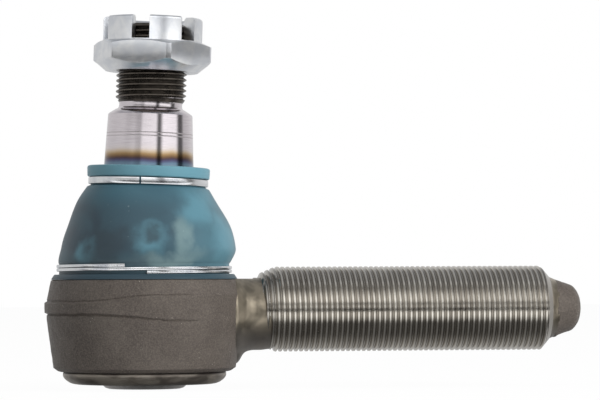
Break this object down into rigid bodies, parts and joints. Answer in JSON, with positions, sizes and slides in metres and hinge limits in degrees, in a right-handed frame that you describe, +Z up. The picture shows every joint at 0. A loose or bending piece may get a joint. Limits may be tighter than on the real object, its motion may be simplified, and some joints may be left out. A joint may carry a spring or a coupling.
{
  "type": "tie rod end",
  "caption": "Heavy-vehicle tie rod end: forged socket on a threaded shank, spring-loaded ball stud with castle nut, and a sealing boot held by spring clips.",
  "frame": {"origin": "centre of the stud's ball", "axes": "+X along the shank towards its threaded end, +Z up the socket's axis towards the stud"},
  "size_m": [0.1535, 0.0558, 0.1046],
  "materials": {
    "forged_steel": "forged and phosphated, turned thread",
    "bearing_polymer": "moulded acetal",
    "pressed_steel": "pressed, lightly oiled",
    "spring_steel": "drawn wire",
    "seal_rubber": "matt nitrile",
    "stud_steel": "ground taper with heat tint, blackened thread",
    "zinc_plate": "bright zinc plate",
    "boot_polyurethane": "smooth translucent polyurethane over grease",
    "clip_steel": "bright flat spring wire"
  },
  "bodies": {
    "housing": {"housing": "forged_steel", "upper_bearing_shell": "bearing_polymer", "preload_spring": "spring_steel", "cover_seal_ring": "seal_rubber", "closing_cover": "pressed_steel", "boot_base_clip": "clip_steel"},
    "lower_seat": {"lower_bearing_shell": "bearing_polymer", "spring_cup": "pressed_steel"},
    "boot": {"dust_boot": "boot_polyurethane"},
    "boot_collar": {"boot_top_clip": "clip_steel"},
    "ball_stud": {"ball_stud": "stud_steel"},
    "castle_nut": {"castle_nut": "zinc_plate"}
  },
  "joints": [
    {"name": "seat_float", "type": "slide", "parent": "housing", "child": "lower_seat", "axis": [0, 0, 1], "range_m": [-0.0003, 0], "stiffness_N_per_m": 40000, "springref_m": 0.001, "deforming": ["preload_spring"]},
    {"name": "stud_swing", "type": "hinge", "parent": "housing", "child": "boot", "pos_m": [0, 0, 0], "axis": [0, 1, 0], "range_deg": [-21.94, 18.06], "deforming": ["dust_boot"]},
    {"name": "stud_tilt", "type": "hinge", "parent": "boot", "child": "boot_collar", "pos_m": [0, 0, 0], "axis": [0.9994, 0, -0.0339], "range_deg": [-20, 20]},
    {"name": "stud_spin", "type": "hinge", "parent": "boot_collar", "child": "ball_stud", "pos_m": [0, 0, 0], "axis": [0.0339, 0, 0.9994], "continuous": true},
    {"name": "nut_turn", "type": "hinge", "parent": "ball_stud", "child": "castle_nut", "pos_m": [0.00235, 0, 0.06931], "axis": [0.0339, 0, 0.9994], "continuous": true}
  ]
}
